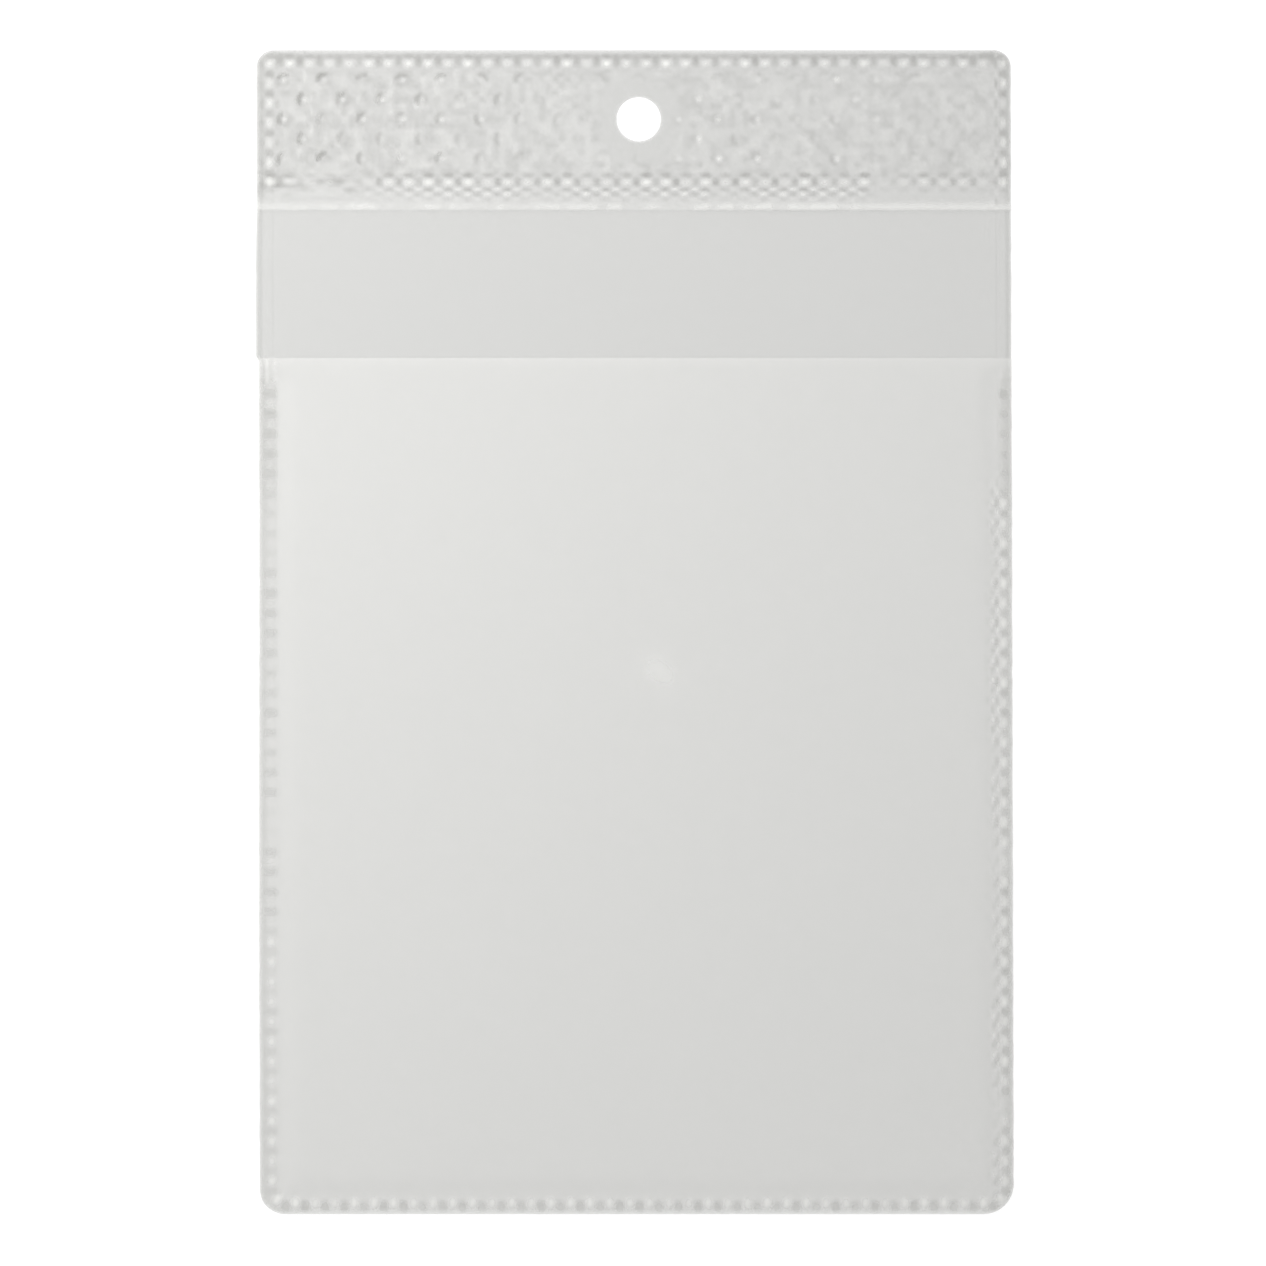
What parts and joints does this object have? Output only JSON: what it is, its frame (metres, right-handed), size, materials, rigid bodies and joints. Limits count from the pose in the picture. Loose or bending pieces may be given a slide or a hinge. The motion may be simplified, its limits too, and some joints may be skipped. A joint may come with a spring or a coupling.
{
  "type": "clear document pocket",
  "caption": "Clear hanging pocket for an A6 sheet: welded soft films, an open mouth under a dotted header strip and a punched hole to hang it by.",
  "frame": {"origin": "middle of the outline, on the surface that the pocket lies on", "axes": "+X to the right seen from the front, +Y up the pocket towards the hanging hole, +Z out of its front"},
  "size_m": [0.1146, 0.177, 0.0008],
  "materials": {
    "clear_film": "smooth, slightly milky clear soft film",
    "dotted_film": "clear soft film pressed with staggered dots",
    "weld": "clear soft film welded in a line of pressed stitches"
  },
  "bodies": {
    "pocket": {"back_film": "clear_film", "front_film": "clear_film", "header_film": "dotted_film", "header_top_weld": "weld", "header_lower_weld": "weld", "header_left_weld": "weld", "header_right_weld": "weld", "pocket_left_weld": "weld", "pocket_right_weld": "weld", "pocket_bottom_weld": "weld"},
    "mouth": {"mouth_strip": "clear_film"},
    "lip": {"header_lip": "clear_film"}
  },
  "joints": [
    {"name": "mouth_bend", "type": "hinge", "parent": "pocket", "child": "mouth", "pos_m": [0, 0.0377, 0.0008], "axis": [1, 0, 0], "range_deg": [0, 90], "stiffness_Nm_per_rad": 0.001},
    {"name": "lip_bend", "type": "hinge", "parent": "pocket", "child": "lip", "pos_m": [0, 0.06725, 0.0005], "axis": [-1, 0, 0], "range_deg": [0, 90], "stiffness_Nm_per_rad": 0.001}
  ]
}
